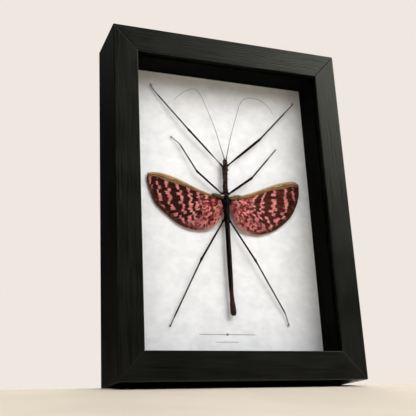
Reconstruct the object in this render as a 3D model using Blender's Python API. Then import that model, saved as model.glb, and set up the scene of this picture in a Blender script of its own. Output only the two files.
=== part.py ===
"""A pinned and spread stick insect in a deep black display frame.

The frame stands upright on its lower rail. X runs along the width, +Y runs from
the front of the frame to its back, and +Z is up. The origin is at the middle of
the lower face. Lengths are given in millimetres and turned into metres by MM.
"""
import math
import random

import bmesh
import bpy
import numpy as np
from mathutils import Vector

MM = 0.001

# Room between pieces that touch
GAP = 0.3

# Display frame
FRAME_WIDTH = 170.0
FRAME_HEIGHT = 240.0
FRAME_DEPTH = 42.0
SIDE_RAIL = 17.0
CROSS_RAIL = 18.5
LIP_DEPTH = 4.0
REBATE = 5.0
ARRIS_RADIUS = 0.8
BACK_ARRIS = 0.5
MITRE_GAP = 0.3

# What the rebate holds, from the front to the back
GLASS_THICKNESS = 2.0
BACKING_DEPTH = 26.5
BOARD_THICKNESS = 8.0
PANEL_THICKNESS = 3.0

# Metal points that hold the back panel in
TAB_WIDTH = 7.0
TAB_LENGTH = 9.0
TAB_THICKNESS = 0.6
TAB_SHOULDER = 0.6
TAB_TIP = 0.3
TAB_HEIGHTS = (62.0, 178.0)

# Sawtooth hanger and its two nails
HANGER_WIDTH = 42.0
HANGER_HEIGHT = 9.0
HANGER_THICKNESS = 0.8
HANGER_TEETH = 9
TOOTH_DEPTH = 2.2
TOOTHED_SHARE = 0.6
HANGER_CORNER = 2.7
HANGER_Z = 208.0
NAIL_INSET = 4.5
NAIL_RADIUS = 1.5
NAIL_HEIGHT = 0.7
NAIL_SIDES = 12
# Outline of a nail's domed head, as shares of its height and radius
NAIL_DOME = ((0.0, 1.0), (0.55, 0.92), (0.85, 0.62), (1.0, 0.25))

# Planes that the specimen is spread in, from the front face
FRONT_Y = -FRAME_DEPTH / 2
BOARD_Y = FRONT_Y + BACKING_DEPTH
BODY_Y = BOARD_Y - 3.6
WING_Y = BOARD_Y - 4.1
ANTENNA_Y = BOARD_Y - 3.9

# Body, as height, half width and half thickness from the lip to the tail
BODY_STATIONS = (
    (157.3, 0.45, 0.35),
    (156.6, 1.00, 0.80),
    (155.7, 1.40, 1.10),
    (154.9, 1.75, 1.15),
    (154.1, 1.50, 1.20),
    (153.2, 1.30, 1.15),
    (152.6, 1.10, 1.05),
    (151.8, 1.55, 1.20),
    (149.4, 1.90, 1.40),
    (148.0, 1.65, 1.30),
    (147.3, 1.15, 1.05),
    (146.2, 1.35, 1.20),
    (140.0, 1.25, 1.15),
    (134.5, 1.40, 1.30),
    (131.4, 2.00, 1.65),
    (130.2, 1.80, 1.60),
    (128.4, 2.55, 1.95),
    (125.5, 2.75, 2.10),
    (121.0, 2.25, 1.95),
    (116.5, 1.95, 1.70),
    (113.0, 1.85, 1.55),
    (111.4, 1.50, 1.35),
    (104.0, 1.35, 1.30),
    (84.0, 1.35, 1.25),
    (70.5, 1.25, 1.20),
    (64.5, 1.15, 1.10),
    (60.5, 0.95, 0.95),
    (56.0, 1.25, 1.15),
    (49.5, 1.70, 1.45),
    (46.4, 1.55, 1.30),
    (45.1, 0.90, 0.80),
)
BODY_SIDES = 14
SEGMENT_JOINTS = (104.0, 96.0, 88.0, 80.0, 72.0, 65.0, 60.5, 56.0, 51.5)
JOINT_PINCH = 0.90
THORAX_STEP = 0.8
ABDOMEN_STEP = 2.0
THORAX_END = 113.0
TUBERCLES = (131.0, 151.0)
TUBERCLE_HEIGHTS = (0.15, 0.45)
TUBERCLE_SPACING = 3
TUBERCLE_SEED = 5
HIP_SOCKETS = (151.8, 130.2, 113.0)
SOCKET_BULGE = 0.45
SOCKET_REACH = 0.9
SOCKET_FRONT = -0.1
HEAD_LEAN_FROM = 130.0
HEAD_LEAN = 1.15
BODY_X = 0.15

# Stout pins that carry the body off the board
PIN_RADIUS = 0.35
PIN_HEIGHTS = (123.5, 84.0)
PIN_SIDES = 10

# Hind wings, as x and z: the stiff leading edge, the rear edge of the leathery strip
# along it, and the soft margin from the tip round to the trailing corner
LEFT_WING = {
    "leading": (
        (-6.0, 129.0), (-17.1, 131.8), (-34.5, 139.0), (-44.9, 142.1), (-51.9, 142.6), (-56.2, 141.6),
    ),
    "strip": (
        (-9.7, 127.9), (-20.8, 130.6), (-32.9, 134.8), (-43.8, 137.0), (-49.9, 139.2), (-56.4, 139.4),
    ),
    "margin": (
        (-56.3, 135.4), (-51.6, 121.0), (-44.1, 113.0), (-35.8, 106.6), (-29.0, 103.6),
        (-22.0, 102.6), (-14.9, 103.6), (-9.5, 106.6), (-5.0, 111.6), (-3.2, 117.0),
    ),
}
RIGHT_WING = {
    "leading": (
        (6.0, 128.9), (19.8, 133.2), (39.6, 141.3), (48.5, 143.7), (54.6, 144.5), (58.3, 142.9),
    ),
    "strip": (
        (9.0, 127.6), (20.1, 130.3), (35.4, 136.1), (46.8, 138.5), (51.8, 140.3), (58.6, 140.7),
    ),
    "margin": (
        (58.0, 134.0), (55.3, 126.3), (49.1, 116.6), (38.6, 107.8), (28.8, 103.2),
        (21.2, 101.9), (13.0, 103.2), (8.0, 106.8), (5.0, 112.7), (3.4, 117.6),
    ),
}
# Where the wings leave the body, from its axis: top, end of the strip, and bottom
WING_HINGE = ((3.20, 128.8), (3.15, 127.3), (2.75, 118.6))
FAN_RAYS = 27
WING_STEPS = 9
WING_THICKNESS = 0.30
COSTAL_THICKNESS = 0.55
COSTAL_CROWN = 0.25
PLEAT_DEPTH = 0.22
PLEAT_START = 0.33
BOW_FADE = 4
WING_DROOP = 0.7

# Short leathery forewings over the roots of the hind wings
FOREWING_LENGTH = 9.0
FOREWING_WIDTH = 3.0
FOREWING_THICKNESS = 0.35
FOREWING_ROOT = (2.3, 127.6)
FOREWING_TILT = 12.0
FOREWING_Y = BOARD_Y - 5.3
FOREWING_CROWN = 0.6
FOREWING_BLUNTNESS = 0.06
FOREWING_STEPS = 10
FOREWING_STRIPS = 6

# Legs: the hip's height, then knee, ankle, toe and claw tip as x, lift off the board, and z
LEGS = {
    "fore_leg_left": {
        "hip": 152.0,
        "knee": (-25.1, 3.6, 177.3),
        "ankle": (-46.6, 1.9, 202.6),
        "toe": (-51.8, 1.1, 209.8),
        "claw": (-51.1, 0.9, 212.0),
        "femur": 0.48,
        "waist": 0.2,
    },
    "fore_leg_right": {
        "hip": 152.2,
        "knee": (29.9, 3.6, 175.7),
        "ankle": (53.3, 1.9, 200.7),
        "toe": (61.0, 1.1, 209.0),
        "claw": (61.7, 0.9, 210.9),
        "femur": 0.62,
        "waist": 0.2,
    },
    "middle_leg_left": {
        "hip": 130.9,
        "knee": (-20.4, 3.6, 146.3),
        "ankle": (-31.9, 1.9, 166.7),
        "toe": (-37.4, 1.1, 171.5),
        "claw": (-38.4, 0.9, 172.0),
        "femur": 0.5,
        "waist": 0.0,
    },
    "middle_leg_right": {
        "hip": 130.9,
        "knee": (21.5, 3.6, 145.0),
        "ankle": (36.3, 1.9, 161.7),
        "toe": (43.1, 1.1, 169.6),
        "claw": (43.9, 0.9, 170.3),
        "femur": 0.58,
        "waist": 0.0,
    },
    "hind_leg_left": {
        "hip": 112.4,
        "knee": (-20.3, 3.6, 82.9),
        "ankle": (-40.2, 1.9, 44.0),
        "toe": (-42.9, 1.1, 38.3),
        "claw": (-43.5, 0.9, 37.6),
        "femur": 0.46,
        "waist": 0.0,
    },
    "hind_leg_right": {
        "hip": 112.5,
        "knee": (19.9, 3.6, 83.6),
        "ankle": (40.1, 1.9, 47.9),
        "toe": (42.4, 1.1, 40.6),
        "claw": (42.6, 0.9, 38.6),
        "femur": 0.46,
        "waist": 0.0,
    },
}
HIP_LIFT = 2.8
LEG_SIDES = 8

# Profiles down a leg, as shares of each segment's length with radii. The femur's are
# shares of its own stoutness, and its first stretch is slimmer by the leg's waist.
COXA = ((0.0, 0.30), (0.03, 0.62), (0.06, 0.56), (0.085, 0.34))
FEMUR_WAIST = ((0.13, 0.8), (0.25, 1.0))
FEMUR_REST = ((0.45, 1.0), (0.70, 1.0), (0.92, 0.9))
KNEE = ((0.97, 0.50), (1.0, 0.50))
TIBIA = ((0.03, 0.42), (0.08, 0.34), (0.35, 0.34), (0.70, 0.30), (0.96, 0.33), (1.0, 0.30))
TARSUS_JOINT = ((0.15, 0.18), (0.88, 0.25))
TARSUS_JOINTS = 5
CLAW = ((0.1, 0.22), (0.5, 0.15), (1.0, 0.08))

# Antennae, as x and z from the brow to the tip
ANTENNAE = {
    "antenna_left": (
        (0.7, 157.7), (-1.9, 167.5), (-4.7, 178.6), (-8.4, 189.5), (-11.9, 198.4), (-15.1, 206.0),
        (-17.7, 209.3), (-20.6, 210.0), (-24.2, 208.8), (-27.9, 206.5), (-31.7, 203.2), (-35.6, 199.6),
    ),
    "antenna_right": (
        (2.3, 157.8), (4.2, 165.8), (6.5, 174.6), (9.1, 183.0), (11.8, 191.1), (14.0, 197.9),
        (15.8, 202.5), (19.3, 206.8), (24.9, 208.6), (31.4, 207.8), (36.4, 205.1), (39.9, 201.5),
        (42.1, 197.6),
    ),
}
ANTENNA_BASE_RADIUS = 0.26
ANTENNA_TIP_RADIUS = 0.11
ANTENNA_SIDES = 6
ANTENNA_RINGS = 26

# Colours, roughness and metallic value of each finish
FINISHES = {
    "black_wood": ((0.012, 0.012, 0.010), 0.38, 0.0),
    "clear_glass": ((0.90, 0.95, 0.93), 0.03, 0.0),
    "black_liner": ((0.004, 0.004, 0.003), 0.75, 0.0),
    "white_board": ((0.86, 0.86, 0.84), 0.90, 0.0),
    "back_fibreboard": ((0.30, 0.20, 0.12), 0.80, 0.0),
    "zinc_steel": ((0.60, 0.60, 0.58), 0.35, 1.0),
    "insect_brown": ((0.030, 0.016, 0.012), 0.40, 0.0),
    "wing_pink": ((0.42, 0.14, 0.13), 0.55, 0.0),
    "forewing_olive": ((0.10, 0.09, 0.04), 0.50, 0.0),
    "antenna_grey": ((0.20, 0.17, 0.15), 0.60, 0.0),
}


def clear_scene():
    for old in list(bpy.data.objects):
        bpy.data.objects.remove(old, do_unlink=True)


def finish_named(name):
    """Return the material of one finish, made the first time it is asked for."""
    made = bpy.data.materials.get(name)
    if made:
        return made
    colour, roughness, metallic = FINISHES[name]
    made = bpy.data.materials.new(name)
    made.use_nodes = True
    shader = made.node_tree.nodes["Principled BSDF"]
    shader.inputs["Base Color"].default_value = (*colour, 1.0)
    shader.inputs["Roughness"].default_value = roughness
    shader.inputs["Metallic"].default_value = metallic
    return made


def own_material(name, finish):
    """Copy a finish so that the object has a material of its own."""
    own = finish_named(finish).copy()
    own.name = f"{name}_finish"
    return own


def add_object(name, bm, finish, location=(0.0, 0.0, 0.0), smooth_angle=None):
    """Close a bmesh in millimetres into a named object with its own material."""
    bmesh.ops.recalc_face_normals(bm, faces=bm.faces)
    bmesh.ops.scale(bm, vec=(MM, MM, MM), verts=bm.verts)
    mesh = bpy.data.meshes.new(name)
    bm.to_mesh(mesh)
    bm.free()
    if smooth_angle is not None:
        mesh.shade_smooth()
        mesh.set_sharp_from_angle(angle=math.radians(smooth_angle))
    mesh.materials.append(own_material(name, finish))
    made = bpy.data.objects.new(name, mesh)
    made.location = Vector(location) * MM
    bpy.context.scene.collection.objects.link(made)
    return made


def loft(bm, rings):
    """Join closed rings of points into a skin with a flat face at each end."""
    loops = [[bm.verts.new(point) for point in ring] for ring in rings]
    count = len(loops[0])
    for lower, upper in zip(loops, loops[1:]):
        for k in range(count):
            after = (k + 1) % count
            bm.faces.new((lower[k], lower[after], upper[after], upper[k]))
    bm.faces.new(list(reversed(loops[0])))
    bm.faces.new(loops[-1])


def smooth_curve(points, count):
    """Read evenly spaced points from a smooth curve through the given ones."""
    points = [Vector(p) for p in points]
    padded = [points[0] * 2 - points[1], *points, points[-1] * 2 - points[-2]]
    fine = []
    per_span = 24
    for before, start, end, after in zip(padded, padded[1:], padded[2:], padded[3:]):
        for step in range(per_span):
            t = step / per_span
            fine.append(0.5 * (
                2 * start
                + (end - before) * t
                + (2 * before - 5 * start + 4 * end - after) * t ** 2
                + (3 * start - 3 * end + after - before) * t ** 3
            ))
    fine.append(points[-1])
    lengths = [0.0]
    for a, b in zip(fine, fine[1:]):
        lengths.append(lengths[-1] + (b - a).length)
    wanted = np.linspace(0.0, lengths[-1], count)
    axes = [np.interp(wanted, lengths, [p[axis] for p in fine]) for axis in range(len(points[0]))]
    return [Vector(p) for p in zip(*axes)]


def rings_along(path, radii, sides):
    """Put a circle of the given radius square to the path at each of its points."""
    rings = []
    across = Vector((0.0, 1.0, 0.0))
    for k, (point, radius) in enumerate(zip(path, radii)):
        ahead = path[min(k + 1, len(path) - 1)]
        behind = path[max(k - 1, 0)]
        along = (ahead - behind).normalized()
        across = (across - along * across.dot(along)).normalized()
        third = along.cross(across)
        ring = []
        for side in range(sides):
            angle = math.tau * side / sides
            ring.append(point + (across * math.cos(angle) + third * math.sin(angle)) * radius)
        rings.append(ring)
    return rings


def rail_profile(width):
    """Outline of a rail's section: inward distance from the outer edge, and depth."""
    front, back = -FRAME_DEPTH / 2, FRAME_DEPTH / 2
    arc_steps = 3

    def arris(centre, radius, first_degrees, last_degrees):
        angles = np.linspace(math.radians(first_degrees), math.radians(last_degrees), arc_steps + 1)
        return [(centre[0] + radius * math.cos(a), centre[1] + radius * math.sin(a)) for a in angles]

    outline = arris((ARRIS_RADIUS, front + ARRIS_RADIUS), ARRIS_RADIUS, 180, 270)
    outline += arris((width - ARRIS_RADIUS, front + ARRIS_RADIUS), ARRIS_RADIUS, 270, 360)
    outline += [(width, front + LIP_DEPTH), (width - REBATE, front + LIP_DEPTH)]
    outline += [(width - REBATE, back), (BACK_ARRIS, back), (0.0, back - BACK_ARRIS)]
    return outline


def rail(name, length, width, other_width, location, quarter_turns):
    """A mitred rail, built along X with its outer edge at Z 0, then turned into place."""
    slope = other_width / width
    retreat = MITRE_GAP / 2 * math.hypot(1.0, slope)
    outline = rail_profile(width)
    rings = []
    for end in (-1, 1):
        rings.append([(end * (length / 2 - slope * inward - retreat), y, inward) for inward, y in outline])
    bm = bmesh.new()
    loft(bm, rings)
    made = add_object(name, bm, "black_wood", location, smooth_angle=35)
    made.rotation_euler = (0.0, quarter_turns * math.pi / 2, 0.0)
    return made


def add_frame():
    half_width, half_height = FRAME_WIDTH / 2, FRAME_HEIGHT / 2
    rail("frame_rail_bottom", FRAME_WIDTH, CROSS_RAIL, SIDE_RAIL, (0, 0, 0), 0)
    rail("frame_rail_top", FRAME_WIDTH, CROSS_RAIL, SIDE_RAIL, (0, 0, FRAME_HEIGHT), 2)
    rail("frame_rail_left", FRAME_HEIGHT, SIDE_RAIL, CROSS_RAIL, (-half_width, 0, half_height), 1)
    rail("frame_rail_right", FRAME_HEIGHT, SIDE_RAIL, CROSS_RAIL, (half_width, 0, half_height), -1)


def plate(name, size, centre, finish):
    """A flat rectangular sheet or strip."""
    bm = bmesh.new()
    bmesh.ops.create_cube(bm, size=1.0)
    bmesh.ops.scale(bm, vec=size, verts=bm.verts)
    return add_object(name, bm, finish, centre)


def add_contents():
    """Glass, liner strips, the pale board and the back panel, all in the rebate."""
    inner_width = FRAME_WIDTH - 2 * (SIDE_RAIL - REBATE) - 2 * GAP
    inner_height = FRAME_HEIGHT - 2 * (CROSS_RAIL - REBATE) - 2 * GAP
    middle_z = FRAME_HEIGHT / 2

    glass_front = FRONT_Y + LIP_DEPTH + GAP
    glass_size = (inner_width, GLASS_THICKNESS, inner_height)
    plate("glass_pane", glass_size, (0, glass_front + GLASS_THICKNESS / 2, middle_z), "clear_glass")

    liner_front = glass_front + GLASS_THICKNESS + GAP
    liner_depth = BOARD_Y - GAP - liner_front
    liner_y = liner_front + liner_depth / 2
    liner_thickness = REBATE - GAP
    side_x = inner_width / 2 - liner_thickness / 2
    cross_z = inner_height / 2 - liner_thickness / 2
    side_length = inner_height - 2 * liner_thickness - 2 * GAP
    for side, name in ((-1, "liner_left"), (1, "liner_right")):
        size = (liner_thickness, liner_depth, side_length)
        plate(name, size, (side * side_x, liner_y, middle_z), "black_liner")
    for side, name in ((-1, "liner_bottom"), (1, "liner_top")):
        size = (inner_width, liner_depth, liner_thickness)
        plate(name, size, (0, liner_y, middle_z + side * cross_z), "black_liner")

    board_size = (inner_width, BOARD_THICKNESS, inner_height)
    plate("backing_board", board_size, (0, BOARD_Y + BOARD_THICKNESS / 2, middle_z), "white_board")

    panel_front = BOARD_Y + BOARD_THICKNESS + GAP
    panel_size = (inner_width, PANEL_THICKNESS, inner_height)
    panel_y = panel_front + PANEL_THICKNESS / 2
    plate("back_panel", panel_size, (0, panel_y, middle_z), "back_fibreboard")
    return panel_front + PANEL_THICKNESS


def extruded(name, outline, thickness, front_y, finish):
    """A flat piece cut to an outline of x and z, with the given thickness along Y."""
    bm = bmesh.new()
    loft(bm, [[(x, front_y + depth, z) for x, z in outline] for depth in (0.0, thickness)])
    return add_object(name, bm, finish)


def add_tabs(panel_back):
    """Pointed metal tabs, each driven into a side rail and lying on the back panel."""
    rail_x = FRAME_WIDTH / 2 - SIDE_RAIL + REBATE
    number = 0
    for side in (-1, 1):
        for height in TAB_HEIGHTS:
            number += 1
            root = side * (rail_x - GAP)
            tip = side * (rail_x - GAP - TAB_LENGTH)
            shoulder = side * (rail_x - GAP - TAB_LENGTH * TAB_SHOULDER)
            half = TAB_WIDTH / 2
            outline = (
                (root, height - half), (root, height + half), (shoulder, height + half),
                (tip, height + half * TAB_TIP), (tip, height - half * TAB_TIP), (shoulder, height - half),
            )
            name = f"panel_tab_{number}"
            extruded(name, outline, TAB_THICKNESS, panel_back + GAP, "zinc_steel")


def add_hanger(panel_back):
    """A sawtooth hanger, nailed to the back panel under the top rail."""
    pitch = HANGER_WIDTH * TOOTHED_SHARE / HANGER_TEETH
    first = -pitch * HANGER_TEETH / 2
    top, bottom = HANGER_Z + HANGER_HEIGHT / 2, HANGER_Z - HANGER_HEIGHT / 2
    half = HANGER_WIDTH / 2
    corner = HANGER_CORNER
    outline = [(-half, top - corner), (-half, bottom + corner), (-half + corner, bottom)]
    for tooth in range(HANGER_TEETH):
        start = first + tooth * pitch
        outline.append((start, bottom))
        outline.append((start + pitch / 2, bottom + TOOTH_DEPTH))
    outline.append((first + HANGER_TEETH * pitch, bottom))
    outline += [(half - corner, bottom), (half, bottom + corner), (half, top - corner)]
    outline += [(half - corner, top), (-half + corner, top)]
    extruded("sawtooth_hanger", outline, HANGER_THICKNESS, panel_back + GAP, "zinc_steel")

    nail_front = panel_back + GAP + HANGER_THICKNESS + GAP
    for side, name in ((-1, "hanger_nail_left"), (1, "hanger_nail_right")):
        bm = bmesh.new()
        rings = []
        for rise, share in NAIL_DOME:
            ring = []
            for k in range(NAIL_SIDES):
                angle = math.tau * k / NAIL_SIDES
                radius = NAIL_RADIUS * share
                x = side * (half - NAIL_INSET) + radius * math.cos(angle)
                ring.append((x, nail_front + NAIL_HEIGHT * rise, HANGER_Z + radius * math.sin(angle)))
            rings.append(ring)
        loft(bm, rings)
        add_object(name, bm, "zinc_steel", smooth_angle=60)


def body_x(z):
    """Sideways place of the body's axis: straight, with the head leaning a little."""
    lean = max(0.0, z - HEAD_LEAN_FROM) / (BODY_STATIONS[0][0] - HEAD_LEAN_FROM)
    return BODY_X + HEAD_LEAN * lean ** 1.5


def body_half_sizes(z):
    """Half width and half thickness of the body at a height, without its bumps."""
    heights = [s[0] for s in reversed(BODY_STATIONS)]
    widths = [s[1] for s in reversed(BODY_STATIONS)]
    depths = [s[2] for s in reversed(BODY_STATIONS)]
    return float(np.interp(z, heights, widths)), float(np.interp(z, heights, depths))


def body_heights():
    """Heights of the body's rings: fine on the thorax, coarse on the abdomen."""
    top, tail = BODY_STATIONS[0][0], BODY_STATIONS[-1][0]
    wanted = set(s[0] for s in BODY_STATIONS if s[0] > THORAX_END or s[0] < SEGMENT_JOINTS[-1])
    for z in np.arange(top, THORAX_END, -THORAX_STEP):
        if all(abs(z - other) > THORAX_STEP / 2 for other in wanted):
            wanted.add(round(float(z), 3))
    for z in SEGMENT_JOINTS:
        wanted.update((z + 0.5, z, z - 0.5))
    for z in np.arange(THORAX_END, tail, -ABDOMEN_STEP):
        if all(abs(z - other) > ABDOMEN_STEP / 2 for other in wanted):
            wanted.add(round(float(z), 3))
    return sorted(wanted, reverse=True)


def socket_swell(z):
    """How far the body bulges sideways at the hip sockets."""
    return SOCKET_BULGE * max(math.exp(-((z - hip) / SOCKET_REACH) ** 2) for hip in HIP_SOCKETS)


def add_body():
    """Head, thorax and abdomen as one skin, with the thorax's rows of tubercles."""
    heights = random.Random(TUBERCLE_SEED)
    last = BODY_SIDES - 1
    rings = []
    for row, z in enumerate(body_heights()):
        half_width, half_depth = body_half_sizes(z)
        pinch = JOINT_PINCH if z in SEGMENT_JOINTS else 1.0
        on_thorax = TUBERCLES[0] < z < TUBERCLES[1]
        ring = []
        for side in range(BODY_SIDES):
            angle = math.tau * side / BODY_SIDES
            outward, backward = math.cos(angle), math.sin(angle)
            x = half_width * pinch * outward
            y = half_depth * pinch * backward
            if backward > SOCKET_FRONT:
                x += socket_swell(z) * outward * abs(outward)
            dorsal = side in (last - 4, last - 1) and row % TUBERCLE_SPACING == 0
            lateral = side in (0, BODY_SIDES // 2) and row % TUBERCLE_SPACING == 1
            if on_thorax and (dorsal or lateral):
                height = heights.uniform(*TUBERCLE_HEIGHTS)
                x += height * outward
                y += height * backward
            ring.append((body_x(z) + x, BODY_Y + y, z))
        rings.append(ring)
    bm = bmesh.new()
    loft(bm, rings)
    add_object("insect_body", bm, "insect_brown", smooth_angle=50)


def add_pins():
    """Headless pins between the board and the underside of the body."""
    for number, z in enumerate(PIN_HEIGHTS, start=1):
        under = BODY_Y + body_half_sizes(z)[1] + GAP
        path = [Vector((body_x(z), y, z)) for y in (under, BOARD_Y - GAP)]
        bm = bmesh.new()
        rings = []
        for point in path:
            ring = []
            for k in range(PIN_SIDES):
                angle = math.tau * k / PIN_SIDES
                ring.append((
                    point.x + PIN_RADIUS * math.cos(angle),
                    point.y,
                    point.z + PIN_RADIUS * math.sin(angle),
                ))
            rings.append(ring)
        loft(bm, rings)
        add_object(f"specimen_pin_{number}", bm, "zinc_steel", smooth_angle=50)


def wing_rays(side, wing):
    """Curves from the hinge to the wing's edge: the leathery strip's three, then the fan's."""
    top, strip_end, bottom = [Vector((BODY_X + side * x, 0.0, z)) for x, z in WING_HINGE]
    edges = {}
    for edge, start in (("leading", top), ("strip", strip_end)):
        edges[edge] = smooth_curve([start] + [Vector((x, 0.0, z)) for x, z in wing[edge]], WING_STEPS + 1)
    leading, rear = edges["leading"], edges["strip"]
    middle = [a.lerp(b, 0.5) for a, b in zip(leading, rear)]
    rays = [leading, middle, rear]
    margin = smooth_curve([rear[-1]] + [Vector((x, 0.0, z)) for x, z in wing["margin"]], FAN_RAYS)
    for number in range(1, FAN_RAYS):
        across = number / (FAN_RAYS - 1)
        start = rear[0].lerp(bottom, across)
        bend = (1.0 - across) ** BOW_FADE
        ray = []
        for step, on_rear in enumerate(rear):
            share = step / WING_STEPS
            bow = on_rear - rear[0].lerp(rear[-1], share)
            ray.append(start.lerp(margin[number], share) + bow * bend)
        rays.append(ray)
    return rays


def add_hind_wing(name, side, wing):
    """A pleated fan, with a stiff leathery strip along its leading edge."""
    rays = wing_rays(side, wing)
    span = max((ray[-1] - ray[0]).length for ray in rays)
    front, back = [], []
    bm = bmesh.new()
    for number, ray in enumerate(rays):
        front.append([])
        back.append([])
        half_thickness = (COSTAL_THICKNESS if number < 2 else WING_THICKNESS) / 2
        crown = COSTAL_CROWN if number == 1 else 0.0
        fold = PLEAT_DEPTH / 2 * (1 if number % 2 else -1) if number > 2 else 0.0
        for step, point in enumerate(ray):
            reach = (point - ray[0]).length / span
            opened = min(1.0, step / WING_STEPS / PLEAT_START)
            y = WING_Y + WING_DROOP * reach ** 2 + fold * opened - crown
            front[-1].append(bm.verts.new((point.x, y - half_thickness, point.z)))
            back[-1].append(bm.verts.new((point.x, y + half_thickness, point.z)))
    close_sheet(bm, front, back)
    add_object(name, bm, "wing_pink", smooth_angle=40)


def close_sheet(bm, front, back):
    """Join two grids of vertices into a thin closed sheet."""
    rows, columns = len(front), len(front[0])
    for i in range(rows - 1):
        for j in range(columns - 1):
            bm.faces.new((front[i][j], front[i + 1][j], front[i + 1][j + 1], front[i][j + 1]))
            bm.faces.new((back[i][j], back[i][j + 1], back[i + 1][j + 1], back[i + 1][j]))
    for j in range(columns - 1):
        for i in (0, rows - 1):
            bm.faces.new((front[i][j], front[i][j + 1], back[i][j + 1], back[i][j]))
    for i in range(rows - 1):
        for j in (0, columns - 1):
            bm.faces.new((front[i][j], front[i + 1][j], back[i + 1][j], back[i][j]))


def add_forewing(name, side):
    """A short domed oval that lies over the root of the hind wing."""
    tilt = math.radians(FOREWING_TILT)
    front, back = [], []
    bm = bmesh.new()
    for step in range(FOREWING_STEPS + 1):
        along = step / FOREWING_STEPS
        oval = 2 * (FOREWING_BLUNTNESS + (1 - 2 * FOREWING_BLUNTNESS) * along) - 1
        width = FOREWING_WIDTH * math.sqrt(1 - oval ** 2)
        front.append([])
        back.append([])
        for strip in range(FOREWING_STRIPS + 1):
            across = strip / FOREWING_STRIPS - 0.5
            reach = FOREWING_LENGTH * along
            offset = width * across
            x = FOREWING_ROOT[0] + reach * math.cos(tilt) - offset * math.sin(tilt)
            z = FOREWING_ROOT[1] + reach * math.sin(tilt) + offset * math.cos(tilt)
            dome = (1 - (2 * across) ** 2) * (1 - oval ** 2)
            y = FOREWING_Y - FOREWING_CROWN * dome
            front[-1].append(bm.verts.new((BODY_X + side * x, y - FOREWING_THICKNESS / 2, z)))
            back[-1].append(bm.verts.new((BODY_X + side * x, y + FOREWING_THICKNESS / 2, z)))
    close_sheet(bm, front, back)
    add_object(name, bm, "forewing_olive", smooth_angle=50)


def hip_point(z, side, knee):
    """Where a leg starts: beside its socket on the body, clear of it by the gap."""
    surface = body_half_sizes(z)[0] + socket_swell(z)
    steepness = abs(knee[2] - z) / math.hypot(knee[0] - BODY_X, knee[2] - z)
    end_radius = COXA[0][1]
    offset = surface + GAP + end_radius * steepness
    return Vector((body_x(z) + side * offset, BOARD_Y - HIP_LIFT, z))


def leg_rings(leg):
    """Rings of points down a leg, from the hip to the tip of the claw."""
    side = math.copysign(1.0, leg["knee"][0])
    hip = hip_point(leg["hip"], side, leg["knee"])
    knee, ankle, toe, claw = [
        Vector((leg[joint][0], BOARD_Y - leg[joint][1], leg[joint][2]))
        for joint in ("knee", "ankle", "toe", "claw")
    ]
    path, radii = [], []

    def run(start, end, profile, stoutness=1.0):
        for share, size in profile:
            path.append(start.lerp(end, share))
            radii.append(size * stoutness)

    run(hip, knee, COXA)
    run(hip, knee, FEMUR_WAIST, leg["femur"] - leg["waist"])
    run(hip, knee, FEMUR_REST, leg["femur"])
    run(hip, knee, KNEE)
    run(knee, ankle, TIBIA)
    for joint in range(TARSUS_JOINTS):
        start, end = [ankle.lerp(toe, (joint + k) / TARSUS_JOINTS) for k in (0, 1)]
        run(start, end, TARSUS_JOINT)
    run(toe, claw, CLAW)
    return rings_along(path, radii, LEG_SIDES)


def add_legs():
    for name, leg in LEGS.items():
        bm = bmesh.new()
        loft(bm, leg_rings(leg))
        add_object(name, bm, "insect_brown", smooth_angle=60)


def add_antennae():
    """Hair-thin feelers that taper from the brow to the tip."""
    for name, points in ANTENNAE.items():
        path = smooth_curve([(x, ANTENNA_Y, z) for x, z in points], ANTENNA_RINGS)
        radii = np.linspace(ANTENNA_BASE_RADIUS, ANTENNA_TIP_RADIUS, ANTENNA_RINGS)
        bm = bmesh.new()
        loft(bm, rings_along(path, radii, ANTENNA_SIDES))
        add_object(name, bm, "antenna_grey", smooth_angle=70)


def add_insect():
    add_body()
    add_hind_wing("hind_wing_left", -1, LEFT_WING)
    add_hind_wing("hind_wing_right", 1, RIGHT_WING)
    add_forewing("forewing_left", -1)
    add_forewing("forewing_right", 1)
    add_legs()
    add_antennae()
    add_pins()


def main():
    clear_scene()
    add_frame()
    panel_back = add_contents()
    add_tabs(panel_back)
    add_hanger(panel_back)
    add_insect()


main()
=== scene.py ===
"""Looks of the pinned stick insect in its deep black display frame.

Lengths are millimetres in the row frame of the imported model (X right, +Y from the
glass to the back, +Z up, origin in the middle of the lower face), turned into metres
by MM when a mesh is made.
"""
import random
from functools import partialmethod, reduce
from math import copysign, cos, hypot, pi, radians, sin, tan, tau

import bmesh
import bpy
import numpy as np
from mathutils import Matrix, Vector


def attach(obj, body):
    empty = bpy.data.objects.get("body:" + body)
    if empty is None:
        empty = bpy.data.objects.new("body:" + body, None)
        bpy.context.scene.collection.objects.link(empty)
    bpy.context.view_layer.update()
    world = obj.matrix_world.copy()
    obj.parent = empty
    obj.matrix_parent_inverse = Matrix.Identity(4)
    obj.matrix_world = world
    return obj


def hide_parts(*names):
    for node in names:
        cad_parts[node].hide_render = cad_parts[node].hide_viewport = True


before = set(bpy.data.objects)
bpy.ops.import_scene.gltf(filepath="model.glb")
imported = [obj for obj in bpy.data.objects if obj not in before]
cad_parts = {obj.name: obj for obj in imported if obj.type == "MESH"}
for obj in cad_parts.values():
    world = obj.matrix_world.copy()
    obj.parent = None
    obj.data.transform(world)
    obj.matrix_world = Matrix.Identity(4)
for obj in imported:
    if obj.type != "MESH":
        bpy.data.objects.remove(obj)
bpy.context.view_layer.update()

MM = 0.001
SEED = 11

# The photograph's camera: its place, its angles in degrees and its focal length
VIEWPOINT = (-201.62, -468.09, -48.23)
VIEW_ANGLES = (108.379, 2.826, -20.866)
FOCAL_LENGTH = 66.8688

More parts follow.
